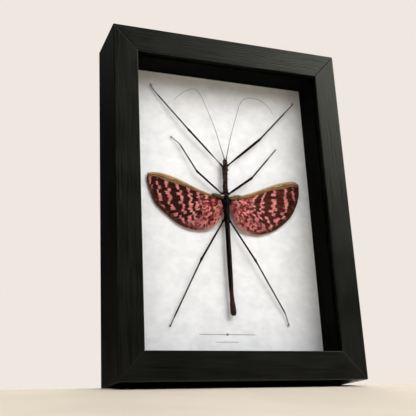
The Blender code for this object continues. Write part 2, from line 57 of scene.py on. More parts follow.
# Sizes of the frame, and how deep in it the board, body, wings and antennae lie
FRAME_WIDTH, FRAME_HEIGHT, FRAME_DEPTH = 170.0, 240.0, 42.0
SIDE_RAIL, CROSS_RAIL = 17.0, 18.5
LIP_DEPTH, REBATE = 4.0, 5.0
OUTER_ARRIS, INNER_ARRIS, BACK_ARRIS = 0.8, 0.4, 0.5
FLAT_FROM = 0.3
FRONT_Y, BACK_Y = -FRAME_DEPTH / 2, FRAME_DEPTH / 2
BOARD_Y = FRONT_Y + 26.5
BODY_Y = BOARD_Y - 3.6
WING_Y = BOARD_Y - 4.1
ANTENNA_Y = BOARD_Y - 3.9

# Body, as height, half width and half thickness from the lip to the tail
BODY_STATIONS = (
    (157.0, 1.2, 0.8), (156.7, 1.5, 1.0), (155.9, 1.6, 1.1), (154.9, 1.6, 1.15),
    (154.1, 1.5, 1.2), (153.2, 1.3, 1.15), (152.6, 1.1, 1.05), (151.8, 1.55, 1.2),
    (149.4, 1.9, 1.4), (148.0, 1.65, 1.3), (147.3, 1.15, 1.05), (146.2, 1.35, 1.2),
    (140.0, 1.25, 1.15), (134.5, 1.4, 1.3), (131.4, 2.0, 1.65), (130.2, 1.8, 1.6),
    (128.4, 2.55, 1.95), (125.5, 2.75, 2.1), (121.0, 2.25, 1.95), (116.5, 1.95, 1.7),
    (113.0, 1.95, 1.55), (111.4, 1.72, 1.35), (104.0, 1.64, 1.35), (84.0, 1.7, 1.35),
    (70.5, 1.62, 1.3), (64.5, 1.5, 1.2), (60.5, 1.36, 1.1), (56.0, 1.52, 1.2),
    (49.5, 2.02, 1.5), (46.4, 1.95, 1.35), (45.1, 1.2, 0.85),
)
SEGMENT_JOINTS = (104.0, 96.0, 88.0, 80.0, 72.0, 65.0, 60.5, 56.0, 51.5)
TUBERCLES = (131.0, 151.0)
HIP_SOCKETS = (151.8, 130.2, 113.0)
HEAD_LEAN_FROM, HEAD_LEAN = 130.0, 1.15
TAIL_BEND_FROM, TAIL_BEND = 62.0, 0.75
BODY_X = 0.15

# Hind wings, as x and z: leading edge, rear edge of the stiff strip, soft margin
LEFT_WING = {
    "leading": (
        (-6.0, 129.0), (-17.1, 131.8), (-34.5, 139.0), (-45.1, 142.1), (-52.3, 142.6), (-56.8, 141.6),
    ),
    "strip": (
        (-9.7, 127.9), (-20.8, 130.6), (-32.9, 134.8), (-44.0, 137.0), (-50.3, 139.2), (-57.0, 139.4),
    ),
    "margin": (
        (-56.9, 135.4), (-52.0, 121.0), (-44.1, 113.0), (-35.8, 106.6), (-29.0, 103.6),
        (-22.0, 102.6), (-14.9, 103.6), (-9.5, 106.6), (-5.0, 111.6), (-3.2, 117.0),
    ),
}
RIGHT_WING = {
    "leading": (
        (6.0, 128.9), (19.8, 133.2), (39.6, 141.3), (48.5, 143.7), (54.4, 144.5), (58.0, 142.9),
    ),
    "strip": (
        (9.0, 127.6), (20.1, 130.3), (35.4, 136.1), (46.8, 138.5), (51.6, 140.3), (58.3, 140.7),
    ),
    "margin": (
        (57.7, 134.0), (55.1, 126.3), (49.1, 116.6), (38.6, 107.8), (28.8, 103.2),
        (21.2, 101.9), (13.0, 103.2), (8.0, 106.8), (5.0, 112.7), (3.4, 117.6),
    ),
}
WING_HINGE = ((3.2, 128.8), (3.15, 127.3), (2.75, 118.6))
FAN_CELLS = 26
ROWS_PER_CELL = 6
COSTAL_ROWS = 10
WING_COLUMNS = 96
MEMBRANE = 0.1
COSTAL_THICKNESS, COSTAL_CROWN = 0.3, 0.25
PLEAT_DEPTH, PLEAT_START = 0.22, 0.33
BOW_FADE = 4
WING_DROOP, FULL_DROOP_REACH = 2.7, 24.0
VEIN_HEIGHT, VEIN_WIDTH = 0.06, 0.16
STRIP_VEIN_HEIGHT, STRIP_VEINS = 0.05, 3
WRINKLE = 0.02

FOREWING_LENGTH, FOREWING_WIDTH, FOREWING_THICKNESS = 9.0, 3.0, 0.3
FOREWING_ROOT = (2.3, 127.6)
FOREWING_TILT = 12.0
FOREWING_Y = BOARD_Y - 5.3
FOREWING_CROWN, FOREWING_BLUNTNESS = 0.6, 0.03

# Legs: the hip's height, then knee, ankle, toe and claw tip as x and z, then the femur's radius
# and how much slimmer it starts
LEGS = {
    "fore_leg_left": (152.0, (-25.1, 177.3), (-46.6, 202.6), (-51.8, 209.8), (-51.1, 212.0), 0.48, 0.2),
    "fore_leg_right": (152.2, (29.9, 175.7), (53.3, 200.7), (61.0, 209.0), (61.7, 210.9), 0.62, 0.2),
    "middle_leg_left": (130.9, (-20.4, 146.3), (-31.9, 166.7), (-37.4, 171.5), (-38.4, 172.0), 0.5, 0.0),
    "middle_leg_right": (130.9, (21.5, 145.0), (36.3, 161.7), (43.1, 169.6), (43.9, 170.3), 0.58, 0.0),
    "hind_leg_left": (112.4, (-20.3, 82.9), (-40.2, 44.0), (-42.9, 38.3), (-43.5, 37.6), 0.46, 0.0),
    "hind_leg_right": (112.5, (19.9, 83.6), (40.1, 47.9), (42.4, 40.6), (42.6, 38.6), 0.46, 0.0),
}

# Lifts off the board, and each stretch of a leg as shares of its length with the radius there,
# which along the femur is a share of the femur's own
HIP_LIFT, JOINT_LIFTS = 2.8, (3.6, 1.9, 1.1, 0.9)
COXA = ((0.0, 0.4), (0.03, 0.62), (0.06, 0.56), (0.085, 0.34))
FEMUR_WAIST = ((0.13, 0.8), (0.25, 1.0))
FEMUR_REST = ((0.45, 1.0), (0.7, 1.04), (0.93, 1.04))
KNEE = ((0.965, 0.6), (1.0, 0.66))
TIBIA = ((0.03, 0.42), (0.08, 0.37), (0.35, 0.37), (0.7, 0.33), (0.96, 0.36), (1.0, 0.32))
TARSUS_JOINT = ((0.15, 0.18), (0.88, 0.25))
TARSUS_JOINTS = 5
STOUTNESS = 1.34
LEG_SIDES, LEG_RIDGES = 12, 0.08
RING_SPACING = 0.4
FOOT_PAD = (0.5, 0.34, 0.5)
CLAW_RADII = (0.28, 0.1)
HAIRS_PER_LEG = 70
HAIR_RADII = (0.05, 0.035, 0.012)

# Antennae, as x and z from the brow to the tip
ANTENNAE = {
    "antenna_left": (
        (0.75, 156.9), (0.7, 157.7), (-1.9, 167.5), (-4.7, 178.6), (-8.4, 189.5), (-11.9, 198.4),
        (-15.1, 206.0), (-17.7, 209.3), (-20.6, 210.0), (-24.2, 208.8), (-27.9, 206.5),
        (-31.7, 203.2), (-35.6, 199.6),
    ),
    "antenna_right": (
        (2.0, 156.9), (2.3, 157.8), (4.2, 165.8), (6.5, 174.6), (9.1, 183.0), (11.8, 191.1),
        (14.0, 197.9), (15.8, 202.5), (19.3, 206.8), (24.9, 208.6), (31.4, 207.8), (36.4, 205.1),
        (39.9, 201.5), (42.1, 197.6),
    ),
}
ANTENNA_LENGTHS = (0.0, 1.9, 2.7, 6.0, 16.0)
ANTENNA_RADII = (0.42, 0.44, 0.31, 0.27, 0.2, 0.1)
ANTENNA_RINGS, ANTENNA_RING_LENGTH = 0.14, 1.1

scene = bpy.context.scene


# Shapes


def lengths_along(path):
    """Length from a path's start to each of its points."""
    return np.concatenate([[0.0], np.cumsum(np.linalg.norm(np.diff(path, axis=0), axis=1))])


def read_along(path, lengths, wanted):
    """Points of a path at the wanted lengths."""
    return np.column_stack([np.interp(wanted, lengths, axis) for axis in path.T])


def points_at(x, y, z):
    """Points from their three coordinates, each a number or a grid."""
    return np.stack(np.broadcast_arrays(x, y, z), axis=-1)


def curve(points, count, steps=24):
    """Evenly spaced points on a smooth curve through the given ones."""
    given = np.array(points, dtype=float)
    padded = np.vstack([2 * given[0] - given[1], given, 2 * given[-1] - given[-2]])
    t = np.linspace(0.0, 1.0, steps, endpoint=False)[:, None]
    spans = []
    for before, start, end, after in zip(padded, padded[1:], padded[2:], padded[3:]):
        spans.append(0.5 * (
            2 * start + (end - before) * t
            + (2 * before - 5 * start + 4 * end - after) * t ** 2
            + (3 * start - 3 * end + after - before) * t ** 3
        ))
    fine = np.vstack([*spans, given[-1]])
    lengths = lengths_along(fine)
    return read_along(fine, lengths, np.linspace(0.0, lengths[-1], count))


class Skin:
    """Closed shells in millimetres, gathered to become one piece."""

    def __init__(self):
        self.points, self.faces, self.slots, self.count = [], [], [], 0

    def add(self, points, faces, slot=0):
        points = np.asarray(points, dtype=float).reshape(-1, 3)
        self.points.append(points)
        self.faces += [tuple(int(i) + self.count for i in face) for face in faces]
        self.slots += [slot] * len(faces)
        self.count += len(points)

    def rings(self, rings, slot=0):
        """A skin over closed rings of points, capped at both ends."""
        rings = np.asarray(rings)
        rows, sides = rings.shape[:2]
        grid = np.arange(rows * sides).reshape(rows, sides)
        after = np.roll(grid, -1, axis=1)
        faces = np.stack([grid[:-1], after[:-1], after[1:], grid[1:]], axis=-1).reshape(-1, 4).tolist()
        faces += [grid[0, ::-1], grid[-1]]
        self.add(rings, faces, slot)

    def tube(self, path, radii, sides, ridges=0.0):
        """A round or slightly ridged tube along a path."""
        self.rings(rings_along(path, radii, sides, ridges))

    def sheet(self, x, y, z, thick):
        """A thin closed sheet around a grid of points, of the given thickness along Y."""
        front, back = points_at(x, y - thick / 2, z), points_at(x, y + thick / 2, z)
        size = front[..., 0].size
        grid = np.arange(size).reshape(front.shape[:2])
        faces = []
        for a, b in zip(grid[:-1, :-1].ravel(), grid[1:, :-1].ravel()):
            faces += [(a, b, b + 1, a + 1), (size + a, size + a + 1, size + b + 1, size + b)]
        edge = [*grid[:, 0], *grid[-1, 1:], *grid[-2::-1, -1], *grid[0, -2:0:-1]]
        faces += [(b, a, size + a, size + b) for a, b in zip(edge, edge[1:] + edge[:1])]
        self.add([front, back], faces)

    def ellipsoid(self, centre, radii, slot=0, steps=12):
        """A closed rounded blob."""
        polar = pi * (np.arange(steps)[:, None] + 0.5) / steps
        turn = np.linspace(0.0, tau, steps * 2, endpoint=False)
        ball = np.sin(polar) * np.cos(turn), np.sin(polar) * np.sin(turn), np.cos(polar)
        self.rings(points_at(*(c + r * part for c, r, part in zip(centre, radii, ball))), slot)


def rings_along(path, radii, sides, ridges):
    """Rings square to a path, with low ridges along it."""
    path = np.asarray(path, dtype=float)
    along = np.vstack([path[1:], path[-1:]]) - np.vstack([path[:1], path[:-1]])
    along /= np.linalg.norm(along, axis=1)[:, None]
    angles = np.linspace(0.0, tau, sides, endpoint=False)[:, None]
    shape = 1.0 + ridges * np.cos(4 * angles)
    across = np.array((0.0, 1.0, 0.0))
    rings = []
    for point, direction, radius in zip(path, along, radii):
        across = across - direction * across.dot(direction)
        across /= np.linalg.norm(across)
        third = np.cross(direction, across)
        outward = np.cos(angles) * across + np.sin(angles) * third
        rings.append(point + radius * shape * outward)
    return rings


def add_object(name, data):
    made = bpy.data.objects.new(name, data)
    scene.collection.objects.link(made)
    return made


def add_piece(node, ending, skin, materials, smooth_angle):
    """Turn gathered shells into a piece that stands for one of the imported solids."""
    name = f"{node}_{ending}"
    mesh = bpy.data.meshes.new(name)
    mesh.from_pydata((np.concatenate(skin.points) * MM).tolist(), [], skin.faces)
    mesh.polygons.foreach_set("material_index", skin.slots)
    bm = bmesh.new()
    bm.from_mesh(mesh)
    bmesh.ops.recalc_face_normals(bm, faces=bm.faces)
    bm.to_mesh(mesh)
    bm.free()
    mesh.shade_smooth()
    mesh.set_sharp_from_angle(angle=radians(smooth_angle))
    for material in materials:
        mesh.materials.append(material)
    piece = add_object(name, mesh)
    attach(piece, "root")
    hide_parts(node)
    return piece


def store(piece, name, grid):
    """Keep three values for each point of a sheet, the same on its front and back."""
    made = piece.data.attributes.new(name, "FLOAT_VECTOR", "POINT")
    made.data.foreach_set("vector", np.tile(grid.ravel(), 2).astype(np.float32))


# Materials


def srgb(*picture):
    """A colour given in 0 to 255 as a picture shows it, in linear light."""
    shares = np.array(picture) / 255
    linear = np.where(shares <= 0.04045, shares / 12.92, ((shares + 0.055) / 1.055) ** 2.4)
    return (*linear.tolist(), 1.0)


def add_node(tree, kind, inputs=(), **settings):
    """A shader node with its inputs, in order or by key, each linked to a socket or set to a value."""
    made = tree.nodes.new(kind)
    for key, value in settings.items():
        setattr(made, key, value)
    for key, value in (inputs if isinstance(inputs, dict) else dict(enumerate(inputs))).items():
        if isinstance(value, bpy.types.NodeSocket):
            tree.links.new(value, made.inputs[key])
        else:
            made.inputs[key].default_value = value
    return made


class Coat:
    """Wires one procedural material, with lengths in millimetres."""

    def __init__(self, name, specular=0.5, roughness=0.5, metallic=0.0):
        self.material = bpy.data.materials.new(name)
        self.material.use_nodes = True
        self.tree = self.material.node_tree
        self.shader = self.tree.nodes["Principled BSDF"]
        looks = {"Specular IOR Level": specular, "Roughness": roughness, "Metallic": metallic}
        for key, value in looks.items():
            self.shader.inputs[key].default_value = value

    def node(self, kind, inputs=(), output=0, **settings):
        """One output of a new node."""
        return add_node(self.tree, kind, inputs, **settings).outputs[output]

    def math(self, operation, first, second=0.0):
        return self.node("ShaderNodeMath", (first, second), operation=operation)

    times = partialmethod(math, "MULTIPLY")
    plus = partialmethod(math, "ADD")
    minus = partialmethod(math, "SUBTRACT")

    def apart(self, first, second):
        """How far two values are from each other."""
        return self.math("ABSOLUTE", self.minus(first, second))

    def share(self, *weighted):
        """A weighted sum of sockets."""
        return reduce(self.plus, [self.times(*pair) for pair in weighted])

    def smooth(self, value, low, high, start=0.0, end=1.0):
        """A smooth step between two values."""
        inputs = value, low, high, start, end
        return self.node("ShaderNodeMapRange", inputs, interpolation_type="SMOOTHSTEP")

    def between(self, share, first, second):
        """A value part of the way from one to another."""
        return self.node("ShaderNodeMix", {0: share, 2: first, 3: second})

    def clouds(self, size, low, high, top=1.0):
        """Soft patches from nothing up to a top value."""
        return self.smooth(self.noise(size), low, high, 0.0, top)

    def split(self, vector):
        """The three parts of a vector."""
        return add_node(self.tree, "ShaderNodeSeparateXYZ", (vector,)).outputs

    def join(self, *parts):
        """A vector of the given parts."""
        return self.node("ShaderNodeCombineXYZ", parts)

    def stored(self, name):
        """The three values that a piece keeps for each point under a name."""
        return self.split(self.node("ShaderNodeAttribute", (), "Vector", attribute_name=name))

    def place(self, stretch=(1.0, 1.0, 1.0), shift=(0.0, 0.0, 0.0)):
        """The point on the object, in millimetres, stretched to lengthen a pattern."""
        here = self.node("ShaderNodeTexCoord", (), "Object")
        scale = [1.0 / MM / s for s in stretch]
        return self.node("ShaderNodeMapping", {"Vector": here, "Scale": scale, "Location": shift})

    def noise_at(self, place, scale, detail, rough=0.5):
        inputs = {"Vector": place, "Scale": scale, "Detail": detail, "Roughness": rough}
        return self.node("ShaderNodeTexNoise", inputs)

    def noise(self, size, detail=2.0, stretch=(1.0, 1.0, 1.0), shift=(0.0, 0.0, 0.0), rough=0.5):
        """Soft noise from 0 to 1 with features of the given size."""
        return self.noise_at(self.place(stretch, shift), 1.0 / size, detail, rough)

    def ray_noise(self, ray, reach, rate, length, detail=2.0, seed=0.0):
        """Noise drawn out along a wing's rays, with features of the given length."""
        place = self.join(self.times(ray, rate), self.math("DIVIDE", reach, length), seed)
        return self.noise_at(place, 1.0, detail)

    def cells(self, scale, **settings):
        """Distance from the middles of scattered cells, or from their edges if set so."""
        return self.node("ShaderNodeTexVoronoi", {"Vector": self.place(), "Scale": scale}, **settings)

    def random(self, *parts):
        """An even random number for each whole-number place."""
        return self.node("ShaderNodeTexWhiteNoise", (self.join(*parts),), "Value", noise_dimensions="3D")

    def mix(self, share, *colours):
        """A colour part of the way from one to another, each a socket or in 0 to 255."""
        first, second = [srgb(*colour) if isinstance(colour, tuple) else colour for colour in colours]
        return self.node("ShaderNodeMix", {0: share, 6: first, 7: second}, 2, data_type="RGBA")

    def two_tone(self, value, first, second):
        """Two colours that change over at the middle of a noise."""
        return self.mix(self.smooth(value, 0.35, 0.65), first, second)

    def layered(self, colour, *layers):
        """A colour with others laid over it in turn, each by its share."""
        for share, above in layers:
            colour = self.mix(share, colour, above)
        return colour

    def feed(self, name, socket):
        self.tree.links.new(socket, self.shader.inputs[name])

    def colour(self, colour, *layers):
        """The surface's colour, with others laid over it in turn, each by its share."""
        self.feed("Base Color", self.layered(colour, *layers))

    def roughness(self, tone, low, high):
        self.feed("Roughness", self.smooth(tone, 0.3, 0.7, low, high))

    def bump(self, height, depth, strength):
        """Raise the surface by the height's share of a depth in millimetres."""
        inputs = {"Height": height, "Distance": depth * MM, "Strength": strength}
        self.feed("Normal", self.node("ShaderNodeBump", inputs))


def black_wood(name, along_x, grain_depth):
    """Black paint over open-grained wood, its grain along the rail."""
    coat = Coat(name, 0.32)
    stretch = (60.0, 1.0, 1.0) if along_x else (1.0, 1.0, 60.0)
    pores = coat.noise(0.4, 1.0, stretch)
    grain = coat.noise(0.62, 1.0, stretch)
    wear = coat.noise(18.0, 3.0)
    tone = coat.share((grain, 0.7), (wear, 0.3))
    coat.colour(coat.two_tone(tone, (3, 4, 1), (9, 10, 6)))
    coat.roughness(coat.share((grain, 0.6), (wear, 0.4)), 0.3, 0.44)
    coat.bump(coat.share((pores, 0.3), (grain, 1.0)), grain_depth, 0.9)
    return coat.material


def plain(name, low, high, specular=0.5, roughness=0.5, size=0.4, depth=0.04, strength=0.6):
    """Two tones of one colour over a faint relief."""
    coat = Coat(name, specular, roughness)
    tone = coat.noise(size, 3.0)
    coat.colour(coat.two_tone(tone, low, high))
    coat.bump(tone, depth, strength)
    return coat.material


def black_paper(name):
    """Dull black paper, also the paint inside the opening."""
    return plain(name, (6, 6, 4), (10, 10, 8), 0.04, 0.9, 0.35, 0.04, 0.5)


def clear_glass(name):
    """A thin clear pane: nearly free of reflections, with a faint sheen."""
    coat = Coat(name)
    clear = coat.node("ShaderNodeBsdfTransparent", {"Color": (0.985, 0.99, 0.985, 1.0)})
    rough = coat.smooth(coat.noise(30.0, 3.0), 0.3, 0.7, 0.015, 0.04)
    gloss = coat.node("ShaderNodeBsdfGlossy", {"Color": (1, 1, 1, 1), "Roughness": rough})
    share = coat.times(coat.node("ShaderNodeFresnel", {"IOR": 1.5}), 0.05)
    pane = coat.node("ShaderNodeMixShader", (share, clear, gloss))
    coat.tree.links.new(pane, coat.tree.nodes["Material Output"].inputs["Surface"])
    coat.tree.nodes.remove(coat.shader)
    return coat.material


def white_board(name):
    """Cottony white card with two plain printed rules."""
    coat = Coat(name, 0.2, 0.9)
    clouds = coat.noise(9.0, 3.0)
    wisps = coat.noise(3.0, 4.0, (1.6, 1.0, 1.0))
    fibres = coat.noise(0.5, 3.0)
    tone = coat.share((clouds, 0.5), (wisps, 0.35), (fibres, 0.15))
    card = coat.mix(coat.smooth(tone, 0.33, 0.67), (235, 234, 237), (250, 249, 251))
    coat.colour(coat.mix(printed_rules(coat), card, (92, 92, 94)))
    coat.bump(coat.share((clouds, 1.0), (wisps, 0.6), (fibres, 0.15)), 0.35, 0.35)
    return coat.material


# Printed rules: middle, half length, height and half thickness
RULES = ((-2.9, 20.0, 33.0, 0.2), (-3.5, 8.2, 28.0, 0.16))
LOZENGE = 1.1
INK = 0.85


def printed_rules(coat):
    """Two thin printed rules, the upper one with a small lozenge in its middle."""
    x, _, z = coat.split(coat.place())
    off_lozenge = coat.plus(coat.apart(x, RULES[0][0]), coat.apart(z, RULES[0][2]))
    marks = coat.smooth(off_lozenge, LOZENGE + 0.1, LOZENGE - 0.1)
    for middle, half_length, height, half_width in RULES:
        along = coat.smooth(coat.apart(x, middle), half_length + 0.1, half_length - 0.1)
        across = coat.smooth(coat.apart(z, height), half_width + 0.06, half_width - 0.06)
        marks = coat.math("MAXIMUM", marks, coat.times(along, across))
    return coat.times(marks, INK)


def fibreboard(name):
    """Brown hardboard with pressed fibres."""
    coat = Coat(name, 0.3, 0.75)
    fibres = coat.noise(0.6, 4.0, (4.0, 1.0, 1.0))
    crossing = coat.noise(0.6, 4.0, (1.0, 1.0, 4.0), (40.0, 0.0, 10.0))
    flecks = coat.noise(0.3)
    mottle = coat.noise(14.0, 3.0)
    tone = coat.share((fibres, 0.35), (crossing, 0.3), (flecks, 0.1), (mottle, 0.25))
    coat.colour(coat.mix(coat.smooth(tone, 0.36, 0.64), (112, 82, 54), (148, 114, 80)))
    coat.bump(tone, 0.12, 0.7)
    return coat.material


def zinc(name):
    """Zinc-plated steel with rolling streaks and a few duller spots."""
    coat = Coat(name, metallic=1.0)
    streaks = coat.noise(0.25, 2.0, (10.0, 1.0, 1.0))
    spots = coat.noise(1.8, 3.0)
    coat.colour(coat.mix(coat.smooth(spots, 0.35, 0.7), (196, 196, 192), (160, 158, 150)))
    coat.roughness(coat.share((streaks, 0.5), (spots, 0.5)), 0.28, 0.5)
    coat.bump(streaks, 0.02, 0.4)
    return coat.material


def body_finish(name):
    """Near-black skin: dull granular thorax, glossy blue-black behind it, brown tail, with pale specks that
    are partly painted glints and a painted highlight down the abdomen.
    """
    coat = Coat(name, 0.08)
    x, y, height = coat.split(coat.place())
    grain = coat.noise(0.35, 3.0)
    patches = coat.noise(1.6, 3.0)
    dots = coat.share((coat.cells(1.15), 1.0), (coat.noise(0.22), 0.6))
    # Pale specks only on the face toward the glass and the lamps: on the thorax partly the granules' own
    # colour, partly painted glints; on the glossy blue-black part they are painted glints.
    granules_and_painted_glints = coat.times(coat.smooth(dots, 0.55, 0.46), coat.smooth(y, BODY_Y + 0.2, BODY_Y - 0.9))
    brown = coat.two_tone(patches, (5, 2, 1), (18, 8, 5))
    brown = coat.mix(coat.times(granules_and_painted_glints, 0.85), brown, (206, 152, 134))
    blue_black_with_painted_glints = coat.mix(coat.times(granules_and_painted_glints, 0.6), (2, 1, 2), (92, 82, 98))
    gloss = coat.times(coat.smooth(height, 119.0, 121.5), coat.smooth(height, 131.0, 129.0))
    abdomen = coat.smooth(height, 122.0, 118.5)
    # A paler broken streak down the abdomen's midline is a painted highlight.
    painted_midline_highlight = coat.times(coat.smooth(coat.apart(x, BODY_X), 0.32, 0.06), abdomen)
    broken_midline_highlight = coat.smooth(coat.noise(1.2, 2.0, (1.0, 1.0, 4.0)), 0.35, 0.6, 0.25, 0.8)
    tail = coat.smooth(height, 66.0, 58.0, 0.0, 0.75)
    coat.colour(
        brown,
        (gloss, blue_black_with_painted_glints),
        (abdomen, coat.two_tone(patches, (4, 1, 1), (15, 7, 6))),
        (coat.times(painted_midline_highlight, broken_midline_highlight), (64, 46, 44)),
        (tail, (62, 36, 34)),
    )
    dull = coat.smooth(grain, 0.3, 0.7, 0.38, 0.55)
    coat.feed("Roughness", coat.minus(dull, coat.times(gloss, 0.14)))
    coat.bump(coat.share((grain, 0.7), (patches, 0.5)), 0.06, 0.8)
    return coat.material


def leg_finish(name):
    """Dark brown legs with lighter stretches."""
    coat = Coat(name, 0.03)
    streaks = coat.noise(0.5, 3.0)
    bands = coat.noise(4.5)
    skin = coat.two_tone(streaks, (9, 2, 2), (28, 10, 8))
    skin = coat.mix(coat.smooth(bands, 0.5, 0.7, 0.0, 0.4), skin, (74, 38, 28))
    coat.colour(skin)
    coat.roughness(streaks, 0.4, 0.6)
    coat.bump(streaks, 0.05, 0.7)
    return coat.material


def antenna_finish(name):
    """Ringed whips, dark at the head and greyer further out."""
    coat = Coat(name, 0.1, 0.6)
    height = coat.split(coat.place())[2]
    tone = coat.noise(0.8, 3.0)
    grey = coat.two_tone(tone, (92, 80, 74), (128, 114, 104))
    base = coat.two_tone(tone, (30, 16, 12), (58, 38, 30))
    coat.colour(coat.mix(coat.smooth(height, 158.0, 178.0), base, grey))
    coat.bump(tone, 0.04, 0.6)
    return coat.material


def bar_patches(coat, ray, reach, seed, slim, broad):
    """A patch in each cell near each bar's line, of its own width, and here and there none."""
    phase, spacing, _ = coat.stored("bars")
    cell = coat.math("FLOOR", ray)
    spread_out = coat.smooth(ray, 6.0, 10.0, 0.32, 0.88)
    jitter = coat.times(coat.minus(coat.random(cell, seed), 0.5), spread_out)
    moved = coat.plus(phase, jitter)
    band = coat.math("ROUND", moved)
    ragged = coat.times(coat.minus(coat.noise(1.1), 0.5), 3.4)
    off_bar = coat.plus(coat.times(coat.apart(moved, band), spacing), ragged)
    half_width = coat.smooth(coat.random(cell, band, seed + 3.0), 0.0, 1.0, slim, broad)
    half_width = coat.minus(half_width, coat.smooth(reach, 42.0, 50.0, 0.0, 0.75))
    missing = coat.smooth(ray, 5.0, 10.0, 0.06, 0.16)
    kept = coat.math("GREATER_THAN", coat.random(cell, band, seed + 7.0), missing)
    return coat.times(coat.smooth(coat.minus(off_bar, half_width), 0.45, -0.3), kept)


def wing_membrane(name, seed, dark, brown, slim, broad):
    """Pink bars and chequers on dark brown cells, after the fan's own rays."""
    coat = Coat(name, 0.1)
    ray, reach, margin = coat.stored("fan")
    inner = coat.smooth(reach, 19.0, 14.0)
    trailing = coat.smooth(ray, 12.5, 16.5)
    loose = coat.math("MAXIMUM", inner, trailing)
    rim = coat.smooth(coat.plus(margin, coat.smooth(ray, 6.0, 1.0, 0.0, 2.3)), 4.2, 2.2)

    # Bars, with marbling near the root and along the trailing edge, and flecks at the rim
    marble = coat.ray_noise(ray, reach, 0.62, 2.6, seed=seed)
    fine_marble = coat.noise(2.3, 3.0, rough=0.62)
    speckled = coat.smooth(coat.share((marble, 0.5), (fine_marble, 0.5)), 0.455, 0.545)
    flecks = coat.smooth(fine_marble, 0.55, 0.63, 0.0, 0.4)
    pattern = coat.between(loose, bar_patches(coat, ray, reach, seed, slim, broad), speckled)
    pattern = coat.between(rim, pattern, flecks)

    fine = coat.noise(0.5)
    lines = coat.ray_noise(ray, reach, 3.0, 9.0)
    ground = coat.layered(
        coat.mix(coat.smooth(lines, 0.4, 0.6), dark, brown),
        (coat.clouds(2.6, 0.52, 0.66, 0.5), (40, 6, 16)),
        (coat.times(loose, 0.8), (84, 18, 18)),
        (coat.times(inner, coat.clouds(1.6, 0.5, 0.62, 0.6)), (96, 56, 30)),
        (coat.times(rim, 0.8), (66, 30, 22)),
    )
    outer_tone = coat.clouds(2.2, 0.38, 0.62)
    inner_tone = coat.smooth(coat.noise(2.0, 2.0, shift=(9.0, 0.0, 4.0)), 0.42, 0.6)
    pink = coat.layered(
        coat.mix(outer_tone, (190, 100, 108), (222, 146, 136)),
        (inner, coat.mix(inner_tone, (168, 52, 66), (228, 152, 140))),
        (coat.times(trailing, 0.5), (190, 106, 106)),
        (rim, (178, 122, 104)),
    )
    off_vein = coat.apart(coat.math("FRACT", coat.plus(ray, 0.5)), 0.5)
    off_vein = coat.times(off_vein, coat.math("MAXIMUM", reach, 4.0))
    hem = coat.times(coat.smooth(ray, 16.0, 22.0, 0.0, 0.7), coat.smooth(margin, 5.0, 1.0))
    edge = coat.mix(trailing, (58, 28, 20), (222, 158, 150))
    coat.colour(
        coat.mix(pattern, ground, pink),
        (coat.smooth(off_vein, 2.4, 0.6, 0.0, 0.5), (60, 20, 20)),
        (hem, (232, 182, 172)),
        (coat.smooth(margin, 0.8, 0.2, 0.0, 0.75), edge),
    )
    coat.roughness(fine, 0.52, 0.72)
    coat.bump(coat.share((fine, 0.4), (lines, 0.6)), 0.08, 0.7)
    return coat.material


def wing_strip(name):
    """The stiff golden-brown strip with brown long veins and a paler outer edge."""
    coat = Coat(name, 0.3, 0.5)
    across, reach, _ = coat.stored("fan")
    fine = coat.noise(0.6, 3.0)
    streaks = coat.ray_noise(across, reach, 7.0, 7.0, 3.0)
    veins = coat.math("SINE", coat.times(across, tau * 2))
    behind = coat.times(coat.smooth(across, -0.3, -0.05), coat.smooth(fine, 0.4, 0.55, 0.3, 0.9))
    coat.colour(
        coat.two_tone(fine, (146, 110, 62), (196, 160, 106)),
        (coat.smooth(streaks, 0.44, 0.56, 0.0, 0.8), (98, 64, 40)),
        (coat.smooth(veins, 0.1, 0.7, 0.0, 0.85), (80, 50, 30)),
        (coat.smooth(across, -0.74, -0.9, 0.0, 0.9), (206, 174, 120)),
        (coat.smooth(across, -0.93, -0.99, 0.0, 0.8), (92, 62, 36)),
        (behind, (74, 40, 32)),
        (coat.smooth(reach, 8.0, 2.0, 0.0, 0.7), (64, 48, 34)),
        (coat.smooth(reach, 50.0, 60.0, 0.0, 0.75), (96, 66, 44)),
    )
    coat.bump(coat.share((fine, 0.5), (streaks, 0.5)), 0.08, 0.7)
    return coat.material


def forewing_finish(name, low, high):
    """Leathery olive-brown with darker net veins."""
    coat = Coat(name, 0.2, 0.6)
    net = coat.cells(1.4, feature="DISTANCE_TO_EDGE")
    skin = coat.two_tone(coat.noise(0.8, 3.0), low, high)
    coat.colour(coat.mix(coat.smooth(net, 0.12, 0.02, 0.0, 0.7), skin, (44, 28, 16)))
    coat.bump(coat.smooth(net, 0.0, 0.15), 0.06, 0.7)
    return coat.material


# Frame


def rail_outline(width):
    """A rail's section: inward distance from the outer edge, and depth."""

    def arris(centre_in, centre_depth, radius, first, last, steps=6):
        angles = np.radians(np.linspace(first, last, steps + 1))
        return [(centre_in + radius * cos(a), centre_depth + radius * sin(a)) for a in angles]

    outer, inner, far = [radius + FLAT_FROM for radius in (OUTER_ARRIS, INNER_ARRIS, BACK_ARRIS)]
    lip_back = FRONT_Y + LIP_DEPTH
    return np.array([
        (0.0, FRONT_Y + outer),
        *arris(OUTER_ARRIS, FRONT_Y + OUTER_ARRIS, OUTER_ARRIS, 180, 270),
        (outer, FRONT_Y), (width - inner, FRONT_Y),
        *arris(width - INNER_ARRIS, FRONT_Y + INNER_ARRIS, INNER_ARRIS, 270, 360),
        (width, FRONT_Y + inner), (width, lip_back), (width - REBATE, lip_back),
        (width - REBATE, BACK_Y), (far, BACK_Y),
        *arris(BACK_ARRIS, BACK_Y - BACK_ARRIS, BACK_ARRIS, 90, 180, 3),
        (0.0, BACK_Y - far),
    ])


def inset(outline, distance):
    """An outline drawn in by a distance, corner by corner."""
    ahead = np.roll(outline, -1, axis=0) - outline
    ahead /= np.linalg.norm(ahead, axis=1)[:, None]
    inward = np.column_stack([-ahead[:, 1], ahead[:, 0]])
    before = np.roll(inward, 1, axis=0)
    both = inward + before
    both /= (1.0 + (inward * before).sum(axis=1))[:, None]
    return outline + both * distance


